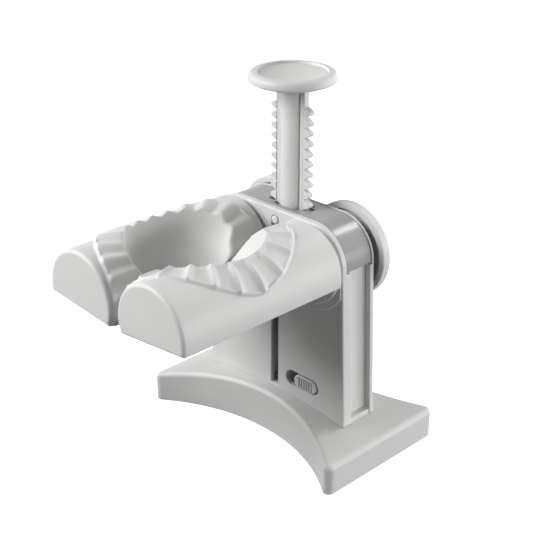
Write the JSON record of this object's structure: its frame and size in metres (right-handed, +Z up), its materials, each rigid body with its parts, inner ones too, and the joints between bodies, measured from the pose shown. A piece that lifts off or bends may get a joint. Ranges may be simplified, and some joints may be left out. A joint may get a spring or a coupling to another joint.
{
  "type": "empanada press",
  "caption": "Free-standing plunger press: a double rack turns two half moulds against each other, so that they fold and crimp a filled round of dough.",
  "frame": {"origin": "middle of the underside, where the press stands, straight below the plunger", "axes": "+X along the base's long side, towards the mould nearer the lock; +Y towards the rear discs, so the moulds reach to -Y; +Z up, along the plunger"},
  "size_m": [0.118, 0.138, 0.1723],
  "materials": {
    "white_plastic": "moulded white plastic with a fine satin texture",
    "bright_plastic": "moulded white plastic, smooth",
    "satin_plastic": "mid-grey satin plastic band",
    "shaft_steel": "turned steel",
    "screw_steel": "zinc-plated steel",
    "grip_rubber": "soft grey rubber"
  },
  "bodies": {
    "frame": {"base": "white_plastic", "base_plate": "white_plastic", "grip_pad": "grip_rubber", "plate_screws": "screw_steel", "base_screws": "screw_steel", "front_cover": "white_plastic", "rear_cover": "white_plastic", "mid_frame": "white_plastic", "trim_band": "satin_plastic", "front_rails": "white_plastic", "rear_rails": "white_plastic", "cover_screws": "screw_steel", "left_front_bush": "bright_plastic", "right_front_bush": "bright_plastic", "left_rear_bush": "bright_plastic", "right_rear_bush": "bright_plastic", "lock_retainer": "white_plastic"},
    "plunger": {"plunger_rack": "white_plastic", "plunger_button": "bright_plastic", "guide_pin": "bright_plastic"},
    "left_roller": {"left_mould": "bright_plastic", "left_shaft": "shaft_steel", "left_pinion": "white_plastic", "left_disc": "bright_plastic", "left_disc_screw": "screw_steel"},
    "right_roller": {"right_mould": "bright_plastic", "right_shaft": "shaft_steel", "right_pinion": "white_plastic", "right_disc": "bright_plastic", "right_disc_screw": "screw_steel"},
    "lock": {"lock_bolt": "white_plastic", "lock_knob": "bright_plastic"}
  },
  "joints": [
    {"name": "plunger_slide", "type": "slide", "parent": "frame", "child": "plunger", "axis": [0, 0, -1], "range_m": [0, 0.052]},
    {"name": "left_roller_turn", "type": "hinge", "parent": "frame", "child": "left_roller", "pos_m": [-0.0225, 0, 0.092], "axis": [0, 1, 0], "range_deg": [0, 248.33]},
    {"name": "right_roller_turn", "type": "hinge", "parent": "frame", "child": "right_roller", "pos_m": [0.0225, 0, 0.092], "axis": [0, -1, 0], "range_deg": [0, 248.33]},
    {"name": "lock_slide", "type": "slide", "parent": "frame", "child": "lock", "axis": [-1, 0, 0], "range_m": [0, 0.005]}
  ],
  "couplings": [
    {"joint": "left_roller_turn", "follows": "plunger_slide", "rad_per_m": 83.333},
    {"joint": "right_roller_turn", "follows": "plunger_slide", "rad_per_m": 83.333}
  ]
}
